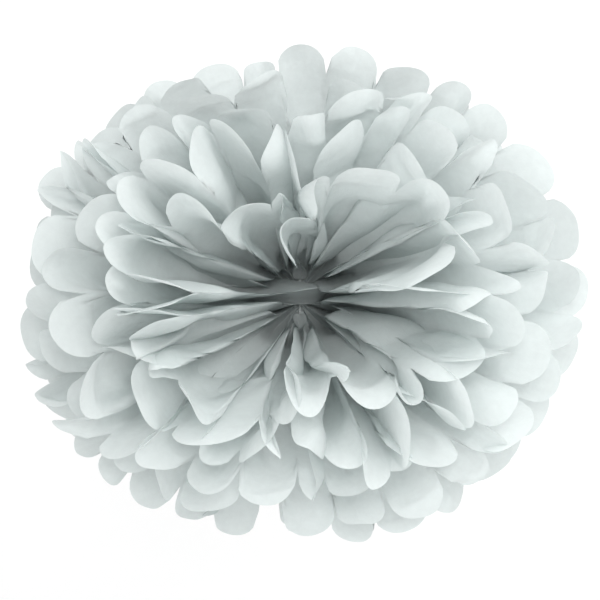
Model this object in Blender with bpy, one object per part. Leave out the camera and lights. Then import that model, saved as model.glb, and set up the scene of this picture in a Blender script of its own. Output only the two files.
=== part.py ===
"""Tissue paper pom pom: ten sheets of tissue, pleated together, tied at the waist and fluffed into a ball.

Units are metres and degrees, +Z is up. The origin is the middle of the tie. The folds leave the tie along
X, and the two poles that the sheets are pulled towards are -Y, the front, and +Y, the back. A sheet is one
piece: it starts as rounded petals on the left, gathers through the tie and opens to petals on the right.
"""

import math

import bmesh
import bpy
import numpy as np

# The cut paper
SHEETS = 10
SHEET_LENGTH = 0.356  # along the folds, tip to tip
SHEET_WIDTH = 0.508  # across the folds
PANELS = 14  # strips between folds, so each end of a sheet has 14 petals
PANEL_WIDTH = SHEET_WIDTH / PANELS
PAPER = 0.0002  # thickness of the solid that stands for one ply
LOBE_DEPTH = 0.62 * PANEL_WIDTH  # from a petal's tip back to the notch at its fold
LOBE_BLUNTNESS = 2.3  # 2 is an ellipse, more is blunter
PAPER_COLOR = (0.60, 0.66, 0.65)
PAPER_ROUGHNESS = 0.85
SEED = 11

# The gathered waist inside the tie
WAIST_HALF_LENGTH = 0.0020
WAIST_STEP = 0.00008  # how much later than its outer neighbour a sheet opens
WAIST_HEIGHT = 0.021
PLY_STEP = 0.0018  # from one sheet to the next
PLEAT_HALF_DEPTH = 0.0010
WAIST_ROUNDING = 0.25  # how much thinner the tie squeezes the two ends of the strip's section

# How the sheets are fluffed
POLE_TO_FIRST = 20.0  # from the front pole to the first sheet, next to the slits
SIDE_DROP = 9.0  # how much less the first sheet is lifted at the sides
SLIT_AT_TIE = 7.0  # between a free edge and the vertical, near the tie
SLIT_AT_TIPS = 1.2  # and at the petals' tips
STAGGER = 3.2  # how far the petals of a sheet turn from the fold line, one way and the next sheet's the other
SLIT_REACH = 0.84  # petals beside the slits bend round the tie, and reach this share of the others
TURN = 1.2  # the most that a petal turns besides, at random
LEAST_REACH = 0.965  # the shortest fold, as a share of the longest

# Distances from the tie over which the paper changes
SLIT_CLOSES = (0.03, 0.17)
LOOSENS = (0.09, 0.178)  # from in step with its neighbours to each petal for itself
LIFTS = (0.0, 0.06)  # from the tie's own direction to the sheet's
LIFT_AT_TIE = 0.45  # share of the lift that a sheet already has as it leaves the tie
OPENS = (-0.02, 0.06)  # from a squeezed pleat to one as deep as its strip allows
LEAST_DEPTH = 0.004  # twice the depth left in a pleat where the sheet is pulled almost flat
LEAST_ARM = 0.01
PLEAT_OF_ROOM = 0.62  # the deepest pleat, as a share of the angle that is left to the pole

# The tie
WIRE = 0.0009
WIRE_GAP = 0.0004  # between the wire and the strip
WIRE_COLOR = (0.72, 0.74, 0.74)
WIRE_ROUGHNESS = 0.5
STRAND_OFFSET = 0.62 * WIRE  # from the middle of the twist to the middle of a strand
TWIST_LIFT = 0.0006  # how far above the ring the twist starts
TWIST_TURNS = 5
TWIST_LENGTH = 0.016
RING_POINTS = 40
POINTS_A_TURN = 10
RING_SQUARENESS = 5.0  # 2 is an ellipse; the ring is nearer to a rounded box, as the strip is

RATIOS = (0.0, 0.16, 0.36, 0.62)  # places of the plain rows along a fold, as shares of its length
ROUND_COLUMNS = (0.0, 0.15, 0.5, 0.85)  # places across a panel where its petal's outline has a point


def smooth(x, low, high):
    """0 below low, 1 above high, and an even curve between them."""
    t = np.clip((np.asarray(x, float) - low) / (high - low), 0.0, 1.0)
    return t * t * (3.0 - 2.0 * t)


class Fluffing:
    """The uneven way a hand opens the paper, for each sheet, side and fold."""

    def __init__(self):
        draw = np.random.default_rng(SEED)
        gaps = draw.uniform(0.6, 1.4, (SHEETS - 1, 2, PANELS + 1))
        risen = np.concatenate([np.zeros((1, 2, PANELS + 1)), np.cumsum(gaps, axis=0)])
        self.place = risen / risen[-1]  # 0 at the first sheet and 1 at the last, in order in between
        self.turn = draw.uniform(-TURN, TURN, (SHEETS, 2, PANELS + 1))
        self.turn += STAGGER * np.where(np.arange(SHEETS) % 2, 1.0, -1.0)[:, None, None]
        self.reach = draw.uniform(LEAST_REACH, 1.0, (SHEETS, 2, PANELS + 1))


FLUFF = Fluffing()


def fold_azimuth(fold, along):
    """The angle of a fold above the horizontal. The end folds of the two sides lean together over the slits."""
    slit = SLIT_AT_TIE + (SLIT_AT_TIPS - SLIT_AT_TIE) * smooth(along, *SLIT_CLOSES)
    return (90.0 - slit) * (2.0 * fold / PANELS - 1.0)


def sheet_polar(place, azimuth):
    """The angle from the front pole, at a place from 0 for the first sheet to 1 for the last, its mirror image."""
    first = POLE_TO_FIRST + SIDE_DROP * np.cos(np.radians(azimuth)) ** 2
    return first + (180.0 - 2.0 * first) * place


def fold_line(sheet, side, fold, along):
    """Points on one fold at distances along it from the tie. side is -1 on the left and 1 on the right."""
    along = np.asarray(along, float)
    end = 0 if side < 0 else 1
    base = fold_azimuth(fold, along)
    middle = np.cos(np.radians(base)) ** 2
    loose = smooth(along, *LOOSENS)
    even_place = sheet / (SHEETS - 1)
    ridge = -1.0 if fold % 2 == 0 else 1.0

    azimuth = base + FLUFF.turn[sheet, end, fold] * loose * middle
    rest = sheet_polar(even_place + (FLUFF.place[sheet, end, fold] - even_place) * loose, base)
    risen = 90.0 + (rest - 90.0) * (LIFT_AT_TIE + (1.0 - LIFT_AT_TIE) * smooth(along, *LIFTS))
    room = np.radians(180.0 / PANELS) * along * np.sin(np.radians(rest))
    width = PANEL_WIDTH * smooth(along, *OPENS)
    half_depth = 0.5 * np.sqrt(np.maximum(width**2 - room**2, LEAST_DEPTH**2))
    near_pole = np.minimum(risen, 180.0 - risen)
    pleat = np.minimum(np.degrees(half_depth / np.maximum(along, LEAST_ARM)), PLEAT_OF_ROOM * near_pole)
    polar = risen + ridge * pleat

    reach = FLUFF.reach[sheet, end, fold] * (SLIT_REACH + (1.0 - SLIT_REACH) * middle)
    theta, phi = np.radians(azimuth), np.radians(polar)
    direction = np.stack([side * np.sin(phi) * np.cos(theta), -np.cos(phi), np.sin(phi) * np.sin(theta)], axis=-1)
    off_middle = 2.0 * fold / PANELS - 1.0
    through = PLY_STEP * (sheet - (SHEETS - 1) / 2.0) + ridge * PLEAT_HALF_DEPTH
    squeeze = 1.0 - WAIST_ROUNDING * off_middle**2
    from_pole = min(sheet, SHEETS - 1 - sheet)
    start = side * (WAIST_HALF_LENGTH + WAIST_STEP * from_pole)
    waist = np.array([start, through * squeeze, WAIST_HEIGHT / 2.0 * off_middle])
    return waist + direction * (along * reach)[:, None]


def petal_length(across):
    """How far from the tie the cut end is, at a place across its panel from 0 to 1."""
    x = abs(2.0 * across - 1.0)
    dip = 1.0 - (1.0 - x**LOBE_BLUNTNESS) ** (1.0 / LOBE_BLUNTNESS)
    return SHEET_LENGTH / 2.0 - LOBE_DEPTH * dip


def panel_point(sheet, side, panel, across, along):
    """A point of a panel: straight across from one fold to the next."""
    first = fold_line(sheet, side, panel, [along])[0]
    second = fold_line(sheet, side, panel + 1, [along])[0]
    return first + (second - first) * across


def half_sheet(mesh, sheet, side):
    """Adds one side of a sheet to the bmesh, and gives back its row of waist vertices."""
    rows = []
    for ratio in RATIOS[:-1]:
        along = ratio * SHEET_LENGTH / 2.0
        rows.append([mesh.verts.new(fold_line(sheet, side, fold, [along])[0]) for fold in range(PANELS + 1)])
    inner, outer = [], []
    for column in range(PANELS * len(ROUND_COLUMNS) + 1):
        panel, place = divmod(column, len(ROUND_COLUMNS))
        if panel == PANELS:
            panel, across = PANELS - 1, 1.0
        else:
            across = ROUND_COLUMNS[place]
        along = RATIOS[-1] * SHEET_LENGTH / 2.0
        inner.append(mesh.verts.new(panel_point(sheet, side, panel, across, along)))
        outer.append(mesh.verts.new(panel_point(sheet, side, panel, across, petal_length(across))))

    for near, far in zip(rows[:-1], rows[1:]):
        join_rows(mesh, near, far, side)
    join_rows(mesh, inner, outer, side)
    for panel in range(PANELS):
        first, second = rows[-1][panel], rows[-1][panel + 1]
        start = panel * len(ROUND_COLUMNS)
        fan = inner[start : start + len(ROUND_COLUMNS) + 1]
        add_face(mesh, (first, fan[0], fan[1]), side)
        add_face(mesh, (first, fan[1], fan[2]), side)
        add_face(mesh, (first, fan[2], second), side)
        add_face(mesh, (second, fan[2], fan[3]), side)
        add_face(mesh, (second, fan[3], fan[4]), side)
    return rows[0]


def add_face(mesh, corners, side):
    mesh.faces.new(corners if side > 0 else corners[::-1])


def join_rows(mesh, near, far, side):
    """Quads, cut in two, between two rows of vertices."""
    for i in range(len(near) - 1):
        add_face(mesh, (near[i], far[i], far[i + 1]), side)
        add_face(mesh, (near[i], far[i + 1], near[i + 1]), side)


def plain_material(name, color, roughness):
    material = bpy.data.materials.new(name)
    material.use_nodes = True
    shader = material.node_tree.nodes["Principled BSDF"]
    shader.inputs["Base Color"].default_value = (*color, 1.0)
    shader.inputs["Roughness"].default_value = roughness
    shader.inputs["Metallic"].default_value = 0.0
    return material


def add_sheet(sheet, material):
    name = f"tissue_sheet_{sheet + 1:02d}"
    mesh = bmesh.new()
    left = half_sheet(mesh, sheet, -1)
    right = half_sheet(mesh, sheet, 1)
    join_rows(mesh, left, right, 1)
    data = bpy.data.meshes.new(name)
    mesh.to_mesh(data)
    mesh.free()
    data.materials.append(material)
    piece = bpy.data.objects.new(name, data)
    bpy.context.scene.collection.objects.link(piece)
    thicken = piece.modifiers.new("paper", "SOLIDIFY")
    thicken.thickness = PAPER
    thicken.offset = 0.0
    return piece


def tie_route():
    """The wire's middle line: down one strand of the twist, once round the waist, and up the other strand."""
    round_strip = WIRE_GAP + 0.5 * (PAPER + WIRE)
    half_y = PLY_STEP * (SHEETS - 1) / 2.0 + PLEAT_HALF_DEPTH + round_strip
    half_z = WAIST_HEIGHT / 2.0 + round_strip
    steps = TWIST_TURNS * POINTS_A_TURN
    first = [strand_point(step, 0.0, half_z) for step in range(steps, 0, -1)]
    second = [strand_point(step, math.pi, half_z) for step in range(1, steps + 1)]

    lead = math.asin(STRAND_OFFSET / half_y)
    ring = []
    for step in range(RING_POINTS + 1):
        angle = lead + (2.0 * math.pi - 2.0 * lead) * step / RING_POINTS
        ring.append((0.0, half_y * squared(math.sin(angle)), half_z * squared(math.cos(angle))))
    return first + ring + second


def strand_point(step, start, ring_top):
    """A point of a strand of the twist, which starts at the ring's top and turns as it rises."""
    angle = 2.0 * math.pi * step / POINTS_A_TURN + start
    rise = TWIST_LIFT + TWIST_LENGTH * step / (TWIST_TURNS * POINTS_A_TURN)
    return (STRAND_OFFSET * math.sin(angle), STRAND_OFFSET * math.cos(angle), ring_top + rise)


def squared(share):
    """A sine or cosine, pushed outwards, so that a circle becomes a rounded square."""
    return math.copysign(abs(share) ** (2.0 / RING_SQUARENESS), share)


def add_tie(material):
    data = bpy.data.curves.new("tie_wire", "CURVE")
    data.dimensions = "3D"
    data.bevel_depth = WIRE / 2.0
    data.bevel_resolution = 1
    data.use_fill_caps = True
    spline = data.splines.new("POLY")
    route = tie_route()
    spline.points.add(len(route) - 1)
    for point, place in zip(spline.points, route):
        point.co = (*place, 1.0)
    data.materials.append(material)
    piece = bpy.data.objects.new("tie_wire", data)
    bpy.context.scene.collection.objects.link(piece)
    return piece


def main():
    for old in list(bpy.data.objects):
        bpy.data.objects.remove(old)
    paper = plain_material("tissue", PAPER_COLOR, PAPER_ROUGHNESS)
    for sheet in range(SHEETS):
        add_sheet(sheet, paper)
    add_tie(plain_material("wire", WIRE_COLOR, WIRE_ROUGHNESS))


main()
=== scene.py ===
"""Tissue paper pom pom: ten pleated sheets tied at the waist and fluffed into a ball, with a twisted tie wire.

A sheet is one grid of points. Its columns run across the paper, through every strip between two folds, and its
rows run from the petals on the left, through the tie, to the petals on the right. -Y is the front pole, towards
which the first sheets are pulled, and +Y the back pole. Metres and degrees, +Z is up.
"""

import math

import bpy
import numpy as np
from bpy.props import FloatProperty, FloatVectorProperty, IntProperty, PointerProperty
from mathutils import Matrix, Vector


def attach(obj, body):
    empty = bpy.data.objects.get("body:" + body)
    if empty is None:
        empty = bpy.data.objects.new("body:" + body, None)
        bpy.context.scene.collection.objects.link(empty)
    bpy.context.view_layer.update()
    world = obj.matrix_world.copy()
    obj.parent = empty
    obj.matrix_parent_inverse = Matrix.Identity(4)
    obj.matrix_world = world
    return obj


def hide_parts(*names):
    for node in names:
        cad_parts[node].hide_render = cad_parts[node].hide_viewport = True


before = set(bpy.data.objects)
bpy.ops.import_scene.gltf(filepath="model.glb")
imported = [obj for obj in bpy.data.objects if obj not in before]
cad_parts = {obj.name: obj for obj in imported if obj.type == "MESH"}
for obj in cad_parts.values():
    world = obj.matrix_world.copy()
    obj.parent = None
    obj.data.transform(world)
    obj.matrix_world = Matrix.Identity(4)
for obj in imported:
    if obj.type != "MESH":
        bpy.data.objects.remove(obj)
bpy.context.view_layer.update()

bl_info = {
    "name": "Tissue Pom Pom",
    "version": (1, 0, 0),
    "blender": (4, 5, 0),
    "location": "3D View > Sidebar > Pom Pom",
    "description": "Makes the sheets and the tie of a tissue paper pom pom, and a plain studio for it",
    "category": "Object",
}

SHEET_NODES = sorted(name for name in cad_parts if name.startswith("tissue_sheet_"))
SHEETS = len(SHEET_NODES)
FRAME_WIDTH = 0.3765  # what the camera takes in at the tie


def smooth(x, low, high):
    """0 below low, 1 above high, and an even curve between them."""
    t = np.clip((np.asarray(x, float) - low) / (high - low), 0.0, 1.0)
    return t * t * (3.0 - 2.0 * t)


# ---------------------------------------------------------------------------------------------------- settings


class TissueSettings(bpy.types.PropertyGroup):
    """The cut paper and how it is fluffed"""

    length: FloatProperty(
        name="Sheet Length", description="Along the folds, from tip to tip", default=0.356, unit="LENGTH"
    )
    width: FloatProperty(name="Sheet Width", description="Across the folds", default=0.508, unit="LENGTH")
    panels: IntProperty(name="Strips", description="Strips between folds, so petals at each end", default=14, min=4)
    lobe_depth: FloatProperty(
        name="Petal Depth",
        description="From a petal's tip back to the notch at its fold, as a share of the strip's width",
        default=0.62,
        subtype="FACTOR",
    )
    bluntness: FloatProperty(name="Petal Bluntness", description="2 is an ellipse, more is blunter", default=2.3)
    columns: IntProperty(name="Columns", description="Faces across a strip", default=16, min=4)
    rows: IntProperty(name="Rows", description="Faces along half of a fold", default=58, min=8)
    seed: IntProperty(name="Seed", description="Another number gives another ball", default=11)
    color: FloatVectorProperty(
        name="Paper Colour", description="The tissue's own colour", default=(0.70, 0.742, 0.737), subtype="COLOR"
    )
    glow: FloatProperty(
        name="Translucency", description="Share of light that passes through", default=0.5, subtype="FACTOR"
    )


class WireSettings(bpy.types.PropertyGroup):
    """The tie's finish"""

    color: FloatVectorProperty(
        name="Wrap Colour", description="Colour of the paper wrap", default=(0.70, 0.73, 0.72), subtype="COLOR"
    )


class StageSettings(bpy.types.PropertyGroup):
    """Floor, light and camera"""

    lens: FloatProperty(name="Lens", description="Focal length in millimetres", default=100.0, min=20.0)
    floor_drop: FloatProperty(
        name="Floor Drop", description="How far the floor is below the tie", default=0.42, unit="LENGTH"
    )
    key_power: FloatProperty(name="Key Light", description="The large soft light", default=11.5, unit="POWER")
    fill_power: FloatProperty(name="Fill Light", description="The weak light on the left", default=2.0, unit="POWER")
    ambient: FloatProperty(name="Ambient", description="Strength of the light all round", default=0.8)


# ------------------------------------------------------------------------------------------- shape of the paper

# The tied waist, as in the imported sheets
WAIST_HALF_LENGTH = 0.0020
WAIST_STEP = 0.00008
WAIST_HEIGHT = 0.021
PLY_STEP = 0.0018
PLEAT_HALF_DEPTH = 0.0010
WAIST_ROUNDING = 0.25
POLE_TO_FIRST = 20.0
SIDE_DROP = 9.0
SLIT_AT_TIE = 7.0
SLIT_AT_TIPS = 1.2
STAGGER = 3.2
SLIT_REACH = 0.84

# How the front sheet is opened by hand: the angle that each strip takes at the petals, from the lowest strip up,
# where the first fold starts, and how far each fold is pressed away from the front pole
FRONT_START = {-1: -80.0, 1: -108.0}
FRONT_OPENING = {
    -1: (4, 5, 26, 26, 6, 4, 4, 5, 5, 14, 6, 8, 38, 8),
    1: (40, 4, 28, 4, 20, 6, 6, 6, 12, 7, 21, 28, 4, 40),
}
FRONT_PRESSED = {
    -1: (2, 2, 8, 20, 14, 4, 0, 0, -4, 4, 8, 4, -3, -3, 0),
    1: (-5, -5, -2, 1, 6, 10, 8, 2, -8, 4, 8, 6, 2, -7, -8),
}
FRONT_SHALLOW = 0.55  # the front sheet's pleats are pulled this much flatter
LAP_FOLD, LAP_SPREAD = 7.6, 1.15  # the folds of the front sheet that lap over the tie, and how many go with them
LAP_OVER = {-1: (0.033, -0.011, -0.0005), 1: (-0.004, -0.005, 0.0015)}
LAP_HEIGHT = 0.009

# Strips of the left end that stay bunched together: sheet number, the strip in the middle, and how many
BUNCHES = {2: (5.0, 1.2), 3: (8.6, 2.0), 4: (6.0, 2.4), 5: (9.0, 1.8), 6: (4.6, 2.0), 7: (7.5, 2.0)}


class Fluffing:
    """The uneven way a hand opens the paper: numbers for each sheet, end and fold."""

    def __init__(self, paper):
        folds = paper.panels + 1
        draw = np.random.default_rng(paper.seed)
        gaps = draw.uniform(0.6, 1.4, (SHEETS - 1, 2, folds))
        risen = np.concatenate([np.zeros((1, 2, folds)), np.cumsum(gaps, axis=0)])
        self.place = risen / risen[-1]
        self.turn = draw.uniform(-1.2, 1.2, (SHEETS, 2, folds))
        self.turn += STAGGER * np.where(np.arange(SHEETS) % 2, 1.0, -1.0)[:, None, None]
        self.reach = draw.uniform(0.965, 1.0, (SHEETS, 2, folds))
        more = np.random.default_rng(paper.seed + 1)
        self.flatness = more.uniform(0.35, 1.0, (SHEETS, 2, paper.panels))
        self.opening = more.uniform(0.55, 1.45, (SHEETS, 2, paper.panels))
        self.curl = more.uniform(-0.8, 0.9, (SHEETS, 2, folds))
        self.petal_curl = more.uniform(-0.6, 1.0, (SHEETS, 2, paper.panels))
        self.petal_cup = more.uniform(-0.7, 1.0, (SHEETS, 2, paper.panels))
        self.petal_skew = more.uniform(-1.0, 1.0, (SHEETS, 2, paper.panels))
        self.waves = more.uniform(0.0, 1.0, (SHEETS, 24, 4))
        self.creases = more.uniform(0.0, 1.0, (SHEETS, 2, 70, 6))


def fold_azimuth(paper, fold, along):
    """The angle of a fold above the horizontal. The end folds of the two sides lean together over the slits."""
    slit = SLIT_AT_TIE + (SLIT_AT_TIPS - SLIT_AT_TIE) * smooth(along, 0.03, 0.17)
    return (90.0 - slit) * (2.0 * fold / paper.panels - 1.0)


def sheet_polar(place, azimuth):
    """The angle from the front pole, at a place from 0 for the first sheet to 1 for the last."""
    first = POLE_TO_FIRST + SIDE_DROP * np.cos(np.radians(azimuth)) ** 2
    return first + (180.0 - 2.0 * first) * place


def drawn_to_poles(place):
    """A place from 0 to 1, moved a little towards its nearer pole."""
    off_middle = 2.0 * place - 1.0
    return 0.5 + 0.5 * np.sign(off_middle) * np.abs(off_middle) ** 0.8


class SheetEnd:
    """One end of one sheet, from the tie out to its petals. side is -1 on the left and 1 on the right."""

    def __init__(self, paper, fluff, sheet, side):
        self.paper, self.sheet, self.side = paper, sheet, side
        end = 0 if side < 0 else 1
        self.place = fluff.place[sheet, end]
        self.turn = fluff.turn[sheet, end]
        self.reach = fluff.reach[sheet, end]
        self.curl = fluff.curl[sheet, end]
        self.petal_curl = fluff.petal_curl[sheet, end]
        self.petal_cup = fluff.petal_cup[sheet, end]
        self.petal_skew = fluff.petal_skew[sheet, end]
        self.strip = paper.width / paper.panels
        self.even_place = drawn_to_poles(sheet / (SHEETS - 1))
        self.facing = 1.0 if self.even_place < 0.5 else -1.0
        self.over = self.side * (1.0 if sheet % 2 == 0 else -1.0)
        self.bend = 3.0 + 6.0 * math.sin(math.pi * self.even_place)
        self.pressed = np.zeros(paper.panels + 1)
        if sheet == 0:
            opening = np.array(FRONT_OPENING[side], float)
            self.tips = FRONT_START[side] + np.concatenate([[0.0], np.cumsum(opening)])
            self.pressed = np.array(FRONT_PRESSED[side], float)
        else:
            self.tips = self.opened_tips(fluff.opening[sheet, end], fluff.flatness[sheet, end])
        self.forward = np.where(np.diff(self.tips) > 0.0, 1.0, -1.0)

    def opened_tips(self, opening, flatness):
        """Where the folds are at the petals. Broad strips overlap narrow ones where there is little room."""
        panel = np.arange(self.paper.panels)
        azimuth = 180.0 * (panel + 0.5) / self.paper.panels - 90.0
        rest = sheet_polar(self.even_place, azimuth)
        arm = self.paper.length / 2.0 * np.sin(np.radians(rest))
        pitch = 180.0 / self.paper.panels
        broad = np.degrees(0.95 * self.strip / arm)
        lap = np.clip(0.5 * (broad - pitch), 0.0, 16.0) * flatness
        lap *= np.where(panel % 2 == 0, self.over, -self.over)
        width = pitch * opening / opening.mean() + lap * 2.0
        if self.side < 0 and self.sheet in BUNCHES:
            middle, spread = BUNCHES[self.sheet]
            bunched = np.exp(-(((panel + 0.5 - middle) / spread) ** 4))
            width = width * (1.0 - bunched) + 4.2 * opening * bunched
        width = np.minimum(width, 1.15 * broad)
        lean = 7.0 * self.over
        width *= min(180.0 / width.sum(), 1.12)
        start = lean - 0.5 * width.sum()
        return start + np.concatenate([[0.0], np.cumsum(width)])

    def azimuth(self, fold, along):
        base = fold_azimuth(self.paper, fold, along)
        opened = smooth(along, 0.0, 0.06) if self.sheet == 0 else smooth(along, 0.01, 0.15)
        at_tie = 1.0 - smooth(along, 0.004, 0.024)
        beyond = smooth(along, 0.0, 0.012) * (1.0 - smooth(along, 0.02, 0.07))
        closing = (85.0 * at_tie + 24.0 * beyond) * (fold == (self.paper.panels if self.over > 0 else 0))
        if 2 < self.sheet < SHEETS - 3:
            closing = 0.0
        return base + (self.tips[fold] - base) * opened + self.over * closing

    def polar(self, fold, along):
        base = fold_azimuth(self.paper, fold, along)
        loose = smooth(along, 0.09, 0.178)
        place = self.even_place + (drawn_to_poles(self.place[fold]) - self.even_place) * loose
        rest = sheet_polar(place, base) + self.pressed[fold] * smooth(along, 0.02, 0.15)
        return rest, 90.0 + (rest - 90.0) * (0.45 + 0.55 * smooth(along, 0.0, 0.06))

    def fold_points(self, fold, along):
        """Points on folds, one for each pair of a fold's number and a distance along it."""
        last = self.paper.panels
        fold = np.clip(fold, 0, last)
        azimuth = self.azimuth(fold, along)
        rest, risen = self.polar(fold, along)
        arm = along * np.sin(np.radians(rest))
        before = np.abs(azimuth - self.azimuth(np.maximum(fold - 1, 0), along))
        after = np.abs(self.azimuth(np.minimum(fold + 1, last), along) - azimuth)
        before = np.where(fold == 0, after, before)
        after = np.where(fold == last, before, after)
        widest = np.radians(np.maximum(before, after)) * arm
        width = self.strip * smooth(along, -0.02, 0.06)
        half_depth = 0.5 * np.sqrt(np.maximum(width**2 - widest**2, 0.004**2))
        near_pole = np.minimum(risen, 180.0 - risen)
        pleat = np.minimum(np.degrees(half_depth / np.maximum(along, 0.01)), 0.62 * near_pole)
        if self.sheet == 0:
            bunched = np.exp(-(((fold - 6.8) / 2.2) ** 4))
            pleat = pleat * (FRONT_SHALLOW + (1.0 - FRONT_SHALLOW) * bunched)
        ridge = np.where(fold % 2 == 0, -1.0, 1.0)
        bend = self.facing * self.curl[fold] * self.bend * smooth(along, 0.08, 0.2)
        end_lift = np.where(fold == (last if self.over > 0 else 0), 4.0, 0.0) * self.facing
        polar = risen + ridge * pleat + bend - end_lift * smooth(along, 0.01, 0.05)

        base = fold_azimuth(self.paper, fold, along)
        reach = self.reach[fold] * (SLIT_REACH + (1.0 - SLIT_REACH) * np.cos(np.radians(base)) ** 2)
        theta, phi = np.radians(azimuth), np.radians(polar)
        direction = np.stack(
            [self.side * np.sin(phi) * np.cos(theta), -np.cos(phi), np.sin(phi) * np.sin(theta)], axis=-1
        )
        off_middle = 2.0 * fold / last - 1.0
        through = PLY_STEP * (self.sheet - (SHEETS - 1) / 2.0) + ridge * PLEAT_HALF_DEPTH
        squeeze = 1.0 - WAIST_ROUNDING * off_middle**2
        start = self.side * (WAIST_HALF_LENGTH + WAIST_STEP * min(self.sheet, SHEETS - 1 - self.sheet))
        waist = np.stack(np.broadcast_arrays(start, through * squeeze, WAIST_HEIGHT / 2.0 * off_middle), axis=-1)
        points = waist + direction * (along * reach)[..., None]
        if self.sheet == 0:
            lap = smooth(along, 0.0, 0.012) * (1.0 - smooth(along, 0.018, 0.058))
            lap = lap * np.exp(-(((fold - LAP_FOLD) / LAP_SPREAD) ** 2))
            points = points + lap[..., None] * np.array(LAP_OVER[self.side])
            points[..., 2] += lap * LAP_HEIGHT * (fold - LAP_FOLD)
        return points

    def petal_length(self, panel, across):
        """How far from the tie the cut end is, at a place across its strip from 0 to 1."""
        x = np.abs(2.0 * across - 1.0)
        dip = 1.0 - (1.0 - x**self.paper.bluntness) ** (1.0 / self.paper.bluntness)
        lean = 0.006 * self.petal_skew[panel] * (across - 0.5) * (1.0 - x)
        return self.paper.length / 2.0 - self.paper.lobe_depth * self.strip * dip + lean

    def points(self):
        """The grid of points from the tie outwards: an array of columns, rows and three coordinates."""
        paper = self.paper
        count = paper.panels * paper.columns + 1
        place = np.arange(count) / paper.columns
        panel = np.minimum(place.astype(int), paper.panels - 1)
        across = place - panel
        share = np.linspace(0.0, 1.0, paper.rows + 1)
        share = share + 0.10 * np.sin(np.pi * share) * share
        along = self.petal_length(panel, across)[:, None] * (share / share[-1])[None, :]
        fold = np.broadcast_to(panel[:, None], along.shape)
        t = across[:, None]
        p0, p1 = self.fold_points(fold - 1, along), self.fold_points(fold, along)
        p2, p3 = self.fold_points(fold + 1, along), self.fold_points(fold + 2, along)
        tt = np.broadcast_to(t, along.shape)[..., None]
        straight = p1 + (p2 - p1) * tt
        round_way = 0.5 * (
            2.0 * p1 + (p2 - p0) * tt + (2 * p0 - 5 * p1 + 4 * p2 - p3) * tt**2 + (3 * p1 - p0 - 3 * p2 + p3) * tt**3
        )
        soft = 0.45 * smooth(along, 0.07, 0.175)[..., None]
        points = straight + (round_way - straight) * soft

        chord = p2 - p1
        reach = np.linalg.norm(chord, axis=-1)
        radial = points / np.maximum(np.linalg.norm(points, axis=-1), 1e-6)[..., None]
        outward = np.cross(chord, radial) * self.side * self.facing
        outward /= np.maximum(np.linalg.norm(outward, axis=-1), 1e-9)[..., None]
        spare = np.clip(self.strip / np.maximum(reach, 1e-4) - 1.0, 0.0, 2.0)
        bow = np.minimum(reach * np.sqrt(0.375 * spare), 0.34 * self.strip) * smooth(along, 0.01, 0.11)
        way = self.forward * np.where((self.forward > 0) & (self.petal_cup < -0.35), -1.0, 1.0)
        cup = 0.005 * self.petal_cup[panel][:, None] * smooth(along, 0.06, 0.15)
        arch = 4.0 * t * (1.0 - t)
        notch = paper.length / 2.0 - paper.lobe_depth * self.strip
        past = np.maximum(along - notch, 0.0) ** 2 / (paper.lobe_depth * self.strip)
        tip = 0.5 * self.petal_curl[panel][:, None] * past
        points = points + outward * ((way[panel][:, None] * bow + cup) * arch + tip)[..., None]
        return points, along, place


def crumple(paper, fluff, sheet, side, place, along, points):
    """Small unevenness of the paper: soft waves all over, and short sharp creases."""
    s = (place * paper.width / paper.panels)[:, None] + np.zeros_like(along)
    waves = np.zeros_like(along)
    for number, (angle, phase, pitch, size) in enumerate(fluff.waves[sheet]):
        turn = math.pi * (angle - 0.5) * (0.5 if number < 10 else 2.0)
        length = 0.016 + 0.05 * pitch
        run = s * math.cos(turn) + side * along * math.sin(turn)
        waves += (0.3 + size) * length * np.sin(2.0 * math.pi * (run / length + phase))
    creases = np.zeros_like(along)
    for x, y, angle, length, size, sign in fluff.creases[sheet, 0 if side < 0 else 1]:
        turn = math.pi * angle
        dx, dy = s - x * paper.width, along - (0.05 + 0.13 * y)
        run = dx * math.cos(turn) + dy * math.sin(turn)
        off = dy * math.cos(turn) - dx * math.sin(turn)
        half = 0.014 + 0.03 * length
        ridge = np.exp(-np.abs(off) / (0.004 + 0.006 * size)) * np.exp(-((run / half) ** 2))
        creases += (0.0004 + 0.0011 * size) * (1.0 if sign > 0.5 else -1.0) * ridge
    across = np.gradient(points, axis=0)
    outward = np.gradient(points, axis=1)
    normal = np.cross(across, outward)
    normal /= np.maximum(np.linalg.norm(normal, axis=-1), 1e-12)[..., None]
    return points + normal * ((0.0085 * waves + creases) * smooth(along, 0.05, 0.14))[..., None]


def sheet_grid(paper, fluff, sheet):
    """All points of a sheet, from the left petals' tips to the right ones', and their places on the flat paper."""
    halves, flats = [], []
    for side in (-1, 1):
        end = SheetEnd(paper, fluff, sheet, side)
        points, along, place = end.points()
        points = crumple(paper, fluff, sheet, side, place, along, points)
        u = np.broadcast_to((place / paper.panels)[:, None], along.shape)
        v = 0.5 + side * along / paper.length
        halves.append(points)
        flats.append(np.stack([u, v], axis=-1))
    points = np.concatenate([halves[0][:, ::-1], halves[1]], axis=1)
    flat = np.concatenate([flats[0][:, ::-1], flats[1]], axis=1)
    return points, flat


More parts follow.
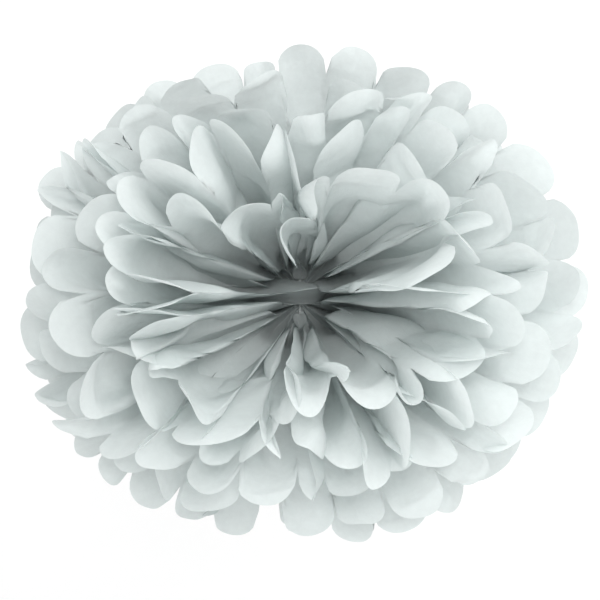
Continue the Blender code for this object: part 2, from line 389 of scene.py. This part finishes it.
def grid_mesh(name, points, flat):
    """A mesh of quads over a grid of points, with the flat paper as its UV map."""
    columns, rows = points.shape[:2]
    corner = (np.arange(columns - 1)[:, None] * rows + np.arange(rows - 1)[None, :]).ravel()
    quads = np.stack([corner, corner + 1, corner + rows + 1, corner + rows], axis=-1)
    data = bpy.data.meshes.new(name)
    data.vertices.add(columns * rows)
    data.vertices.foreach_set("co", points.reshape(-1).astype(np.float32))
    data.loops.add(quads.size)
    data.loops.foreach_set("vertex_index", quads.reshape(-1).astype(np.int32))
    data.polygons.add(len(quads))
    data.polygons.foreach_set("loop_start", (np.arange(len(quads)) * 4).astype(np.int32))
    data.polygons.foreach_set("loop_total", np.full(len(quads), 4, np.int32))
    data.update(calc_edges=True)
    layer = data.uv_layers.new(name="flat_paper")
    layer.data.foreach_set("uv", flat.reshape(-1, 2)[quads.reshape(-1)].reshape(-1).astype(np.float32))
    data.shade_smooth()
    data.validate()
    return data


# ---------------------------------------------------------------------------------------------------- materials


def tissue_material(paper):
    material = bpy.data.materials.new("tissue_paper")
    material.use_nodes = True
    nodes, links = material.node_tree.nodes, material.node_tree.links
    nodes.clear()
    output = nodes.new("ShaderNodeOutputMaterial")
    mix = nodes.new("ShaderNodeMixShader")
    mix.inputs["Fac"].default_value = paper.glow
    surface = nodes.new("ShaderNodeBsdfPrincipled")
    surface.inputs["Roughness"].default_value = 0.78
    surface.inputs["Specular IOR Level"].default_value = 0.25
    through = nodes.new("ShaderNodeBsdfTranslucent")
    links.new(surface.outputs["BSDF"], mix.inputs[1])
    links.new(through.outputs["BSDF"], mix.inputs[2])
    links.new(mix.outputs["Shader"], output.inputs["Surface"])

    where = nodes.new("ShaderNodeTexCoord")
    flat = nodes.new("ShaderNodeMapping")
    flat.inputs["Scale"].default_value = (paper.width, paper.length, 1.0)
    links.new(where.outputs["UV"], flat.inputs["Vector"])

    cloud = nodes.new("ShaderNodeTexNoise")
    cloud.inputs["Scale"].default_value = 210.0
    cloud.inputs["Detail"].default_value = 4.0
    cloud.inputs["Roughness"].default_value = 0.62
    links.new(flat.outputs["Vector"], cloud.inputs["Vector"])
    tint = nodes.new("ShaderNodeMix")
    tint.data_type = "RGBA"
    dark = [0.93 * c for c in paper.color]
    light = [min(1.0, 1.06 * c) for c in paper.color]
    tint.inputs["A"].default_value = (*dark, 1.0)
    tint.inputs["B"].default_value = (*light, 1.0)
    links.new(cloud.outputs["Fac"], tint.inputs["Factor"])
    links.new(tint.outputs["Result"], surface.inputs["Base Color"])
    links.new(tint.outputs["Result"], through.inputs["Color"])

    fibre_place = nodes.new("ShaderNodeMapping")
    fibre_place.inputs["Scale"].default_value = (1.0, 0.28, 1.0)
    links.new(flat.outputs["Vector"], fibre_place.inputs["Vector"])
    fibre = nodes.new("ShaderNodeTexNoise")
    fibre.inputs["Scale"].default_value = 1500.0
    fibre.inputs["Detail"].default_value = 3.0
    links.new(fibre_place.outputs["Vector"], fibre.inputs["Vector"])
    wrinkle_place = nodes.new("ShaderNodeMapping")
    wrinkle_place.inputs["Scale"].default_value = (1.0, 0.45, 1.0)
    links.new(flat.outputs["Vector"], wrinkle_place.inputs["Vector"])
    wrinkle = nodes.new("ShaderNodeTexVoronoi")
    wrinkle.feature = "F1"
    wrinkle.inputs["Scale"].default_value = 95.0
    wrinkle.inputs["Detail"].default_value = 1.5
    links.new(wrinkle_place.outputs["Vector"], wrinkle.inputs["Vector"])
    first = nodes.new("ShaderNodeBump")
    first.inputs["Strength"].default_value = 0.16
    first.inputs["Distance"].default_value = 0.0006
    links.new(fibre.outputs["Fac"], first.inputs["Height"])
    second = nodes.new("ShaderNodeBump")
    second.inputs["Strength"].default_value = 0.22
    second.inputs["Distance"].default_value = 0.0016
    links.new(wrinkle.outputs["Distance"], second.inputs["Height"])
    links.new(first.outputs["Normal"], second.inputs["Normal"])
    links.new(second.outputs["Normal"], surface.inputs["Normal"])
    links.new(second.outputs["Normal"], through.inputs["Normal"])
    return material


def wire_material(wire):
    material = bpy.data.materials.new("paper_wrapped_wire")
    material.use_nodes = True
    nodes, links = material.node_tree.nodes, material.node_tree.links
    surface = nodes["Principled BSDF"]
    surface.inputs["Roughness"].default_value = 0.7
    where = nodes.new("ShaderNodeTexCoord")
    grain = nodes.new("ShaderNodeTexNoise")
    grain.inputs["Scale"].default_value = 1400.0
    links.new(where.outputs["Object"], grain.inputs["Vector"])
    tint = nodes.new("ShaderNodeMix")
    tint.data_type = "RGBA"
    tint.inputs["A"].default_value = (*[0.88 * c for c in wire.color], 1.0)
    tint.inputs["B"].default_value = (*[min(1.0, 1.05 * c) for c in wire.color], 1.0)
    links.new(grain.outputs["Fac"], tint.inputs["Factor"])
    links.new(tint.outputs["Result"], surface.inputs["Base Color"])
    bump = nodes.new("ShaderNodeBump")
    bump.inputs["Strength"].default_value = 0.3
    bump.inputs["Distance"].default_value = 0.0003
    links.new(grain.outputs["Fac"], bump.inputs["Height"])
    links.new(bump.outputs["Normal"], surface.inputs["Normal"])
    return material


def stage_material(name, color):
    material = bpy.data.materials.new(name)
    material.use_nodes = True
    surface = material.node_tree.nodes["Principled BSDF"]
    surface.inputs["Base Color"].default_value = (*color, 1.0)
    surface.inputs["Roughness"].default_value = 0.9
    surface.inputs["Specular IOR Level"].default_value = 0.1
    return material


# ---------------------------------------------------------------------------------------------------- operators


class POMPOM_OT_sheets(bpy.types.Operator):
    """Makes the fluffed sheets of tissue"""

    bl_idname = "pompom.sheets"
    bl_label = "Tissue Sheets"

    def execute(self, context):
        paper = context.scene.pompom_tissue
        fluff = Fluffing(paper)
        material = tissue_material(paper)
        for sheet, node in enumerate(SHEET_NODES):
            points, flat = sheet_grid(paper, fluff, sheet)
            name = node.replace("tissue_sheet_", "fluffed_sheet_")
            piece = bpy.data.objects.new(name, grid_mesh(name, points, flat))
            piece.data.materials.append(material)
            context.scene.collection.objects.link(piece)
            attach(piece, "root")
            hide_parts(node)
        return {"FINISHED"}

    def cut_area(self, paper):
        """The flat area that is left when the petals' ends are cut round."""
        across = np.linspace(0.0, 1.0, 201)
        dip = 1.0 - (1.0 - np.abs(2.0 * across - 1.0) ** paper.bluntness) ** (1.0 / paper.bluntness)
        lost = 2.0 * paper.width * paper.lobe_depth * paper.width / paper.panels * float(dip.mean())
        return paper.width * paper.length - lost


class POMPOM_OT_tie(bpy.types.Operator):
    """Finishes the tie wire"""

    bl_idname = "pompom.tie"
    bl_label = "Tie Wire"

    def execute(self, context):
        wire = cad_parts["tie_wire"]
        material = wire_material(context.scene.pompom_wire)
        for slot in wire.material_slots:
            slot.material = material
        return {"FINISHED"}


class POMPOM_OT_stage(bpy.types.Operator):
    """Sets up the floor, the backdrop, the soft light and the camera"""

    bl_idname = "pompom.stage"
    bl_label = "Studio"

    def execute(self, context):
        stage = context.scene.pompom_stage
        self.add_sweep(context, stage)
        self.add_light(context, "key_light", (0.75, -0.95, 0.85), 1.0, stage.key_power)
        self.add_light(context, "right_light", (0.95, 0.1, 0.35), 0.7, 0.2 * stage.key_power)
        self.add_light(context, "front_light", (0.1, -1.4, 0.25), 0.5, 0.75 * stage.key_power)
        self.add_light(context, "fill_light", (-1.1, -0.8, 0.1), 1.0, stage.fill_power)
        world = bpy.data.worlds.new("studio_air")
        world.use_nodes = True
        air = world.node_tree.nodes["Background"]
        air.inputs["Color"].default_value = (1.0, 1.0, 1.0, 1.0)
        air.inputs["Strength"].default_value = stage.ambient
        context.scene.world = world
        context.scene.view_settings.view_transform = "Standard"
        self.add_camera(context, stage)
        return {"FINISHED"}

    def add_sweep(self, context, stage):
        """The floor, and the wall behind it, joined by a round corner."""
        wall, near, half, bend, steps = 1.6, -2.2, 4.0, 0.7, 16
        profile = [(near, 0.0)]
        for step in range(steps + 1):
            angle = 0.5 * math.pi * step / steps
            profile.append((wall - bend + bend * math.sin(angle), bend - bend * math.cos(angle)))
        profile.append((wall, 4.0))
        points = np.array([[(x, y, z - stage.floor_drop) for y, z in profile] for x in (-half, half)])
        flat = np.zeros((*points.shape[:2], 2))
        sweep = bpy.data.objects.new("floor_and_backdrop", grid_mesh("floor_and_backdrop", points[::-1], flat))
        sweep.data.materials.append(stage_material("pale_card", (0.96, 0.96, 0.96)))
        context.scene.collection.objects.link(sweep)

    def add_light(self, context, name, place, size, power):
        data = bpy.data.lights.new(name, "AREA")
        data.shape = "DISK"
        data.size = size
        data.energy = power
        light = bpy.data.objects.new(name, data)
        light.location = place
        light.rotation_euler = (-Vector(place)).to_track_quat("-Z", "Y").to_euler()
        context.scene.collection.objects.link(light)

    def add_camera(self, context, stage):
        data = bpy.data.cameras.new("camera")
        data.lens = stage.lens
        camera = bpy.data.objects.new("camera", data)
        distance = FRAME_WIDTH * stage.lens / data.sensor_width
        camera.location = (0.0, -distance, -0.0022)
        camera.rotation_euler = (math.radians(90.0), 0.0, 0.0)
        context.scene.collection.objects.link(camera)
        context.scene.camera = camera


class POMPOM_PT_panel(bpy.types.Panel):
    bl_idname = "POMPOM_PT_panel"
    bl_label = "Pom Pom"
    bl_space_type = "VIEW_3D"
    bl_region_type = "UI"
    bl_category = "Pom Pom"

    def draw(self, context):
        layout = self.layout
        for operator, group in STEPS:
            layout.operator(operator)
            settings = getattr(context.scene, group)
            for name in settings.__annotations__:
                layout.prop(settings, name)


STEPS = (
    ("pompom.sheets", "pompom_tissue"),
    ("pompom.tie", "pompom_wire"),
    ("pompom.stage", "pompom_stage"),
)
SETTINGS = {"pompom_tissue": TissueSettings, "pompom_wire": WireSettings, "pompom_stage": StageSettings}
CLASSES = (
    TissueSettings,
    WireSettings,
    StageSettings,
    POMPOM_OT_sheets,
    POMPOM_OT_tie,
    POMPOM_OT_stage,
    POMPOM_PT_panel,
)


def register():
    for item in CLASSES:
        bpy.utils.register_class(item)
    for name, group in SETTINGS.items():
        setattr(bpy.types.Scene, name, PointerProperty(type=group))


def unregister():
    for name in SETTINGS:
        delattr(bpy.types.Scene, name)
    for item in reversed(CLASSES):
        bpy.utils.unregister_class(item)


def main():
    register()
    for operator, _ in STEPS:
        group, name = operator.split(".")
        getattr(getattr(bpy.ops, group), name)()


if __name__ == "__main__":
    main()
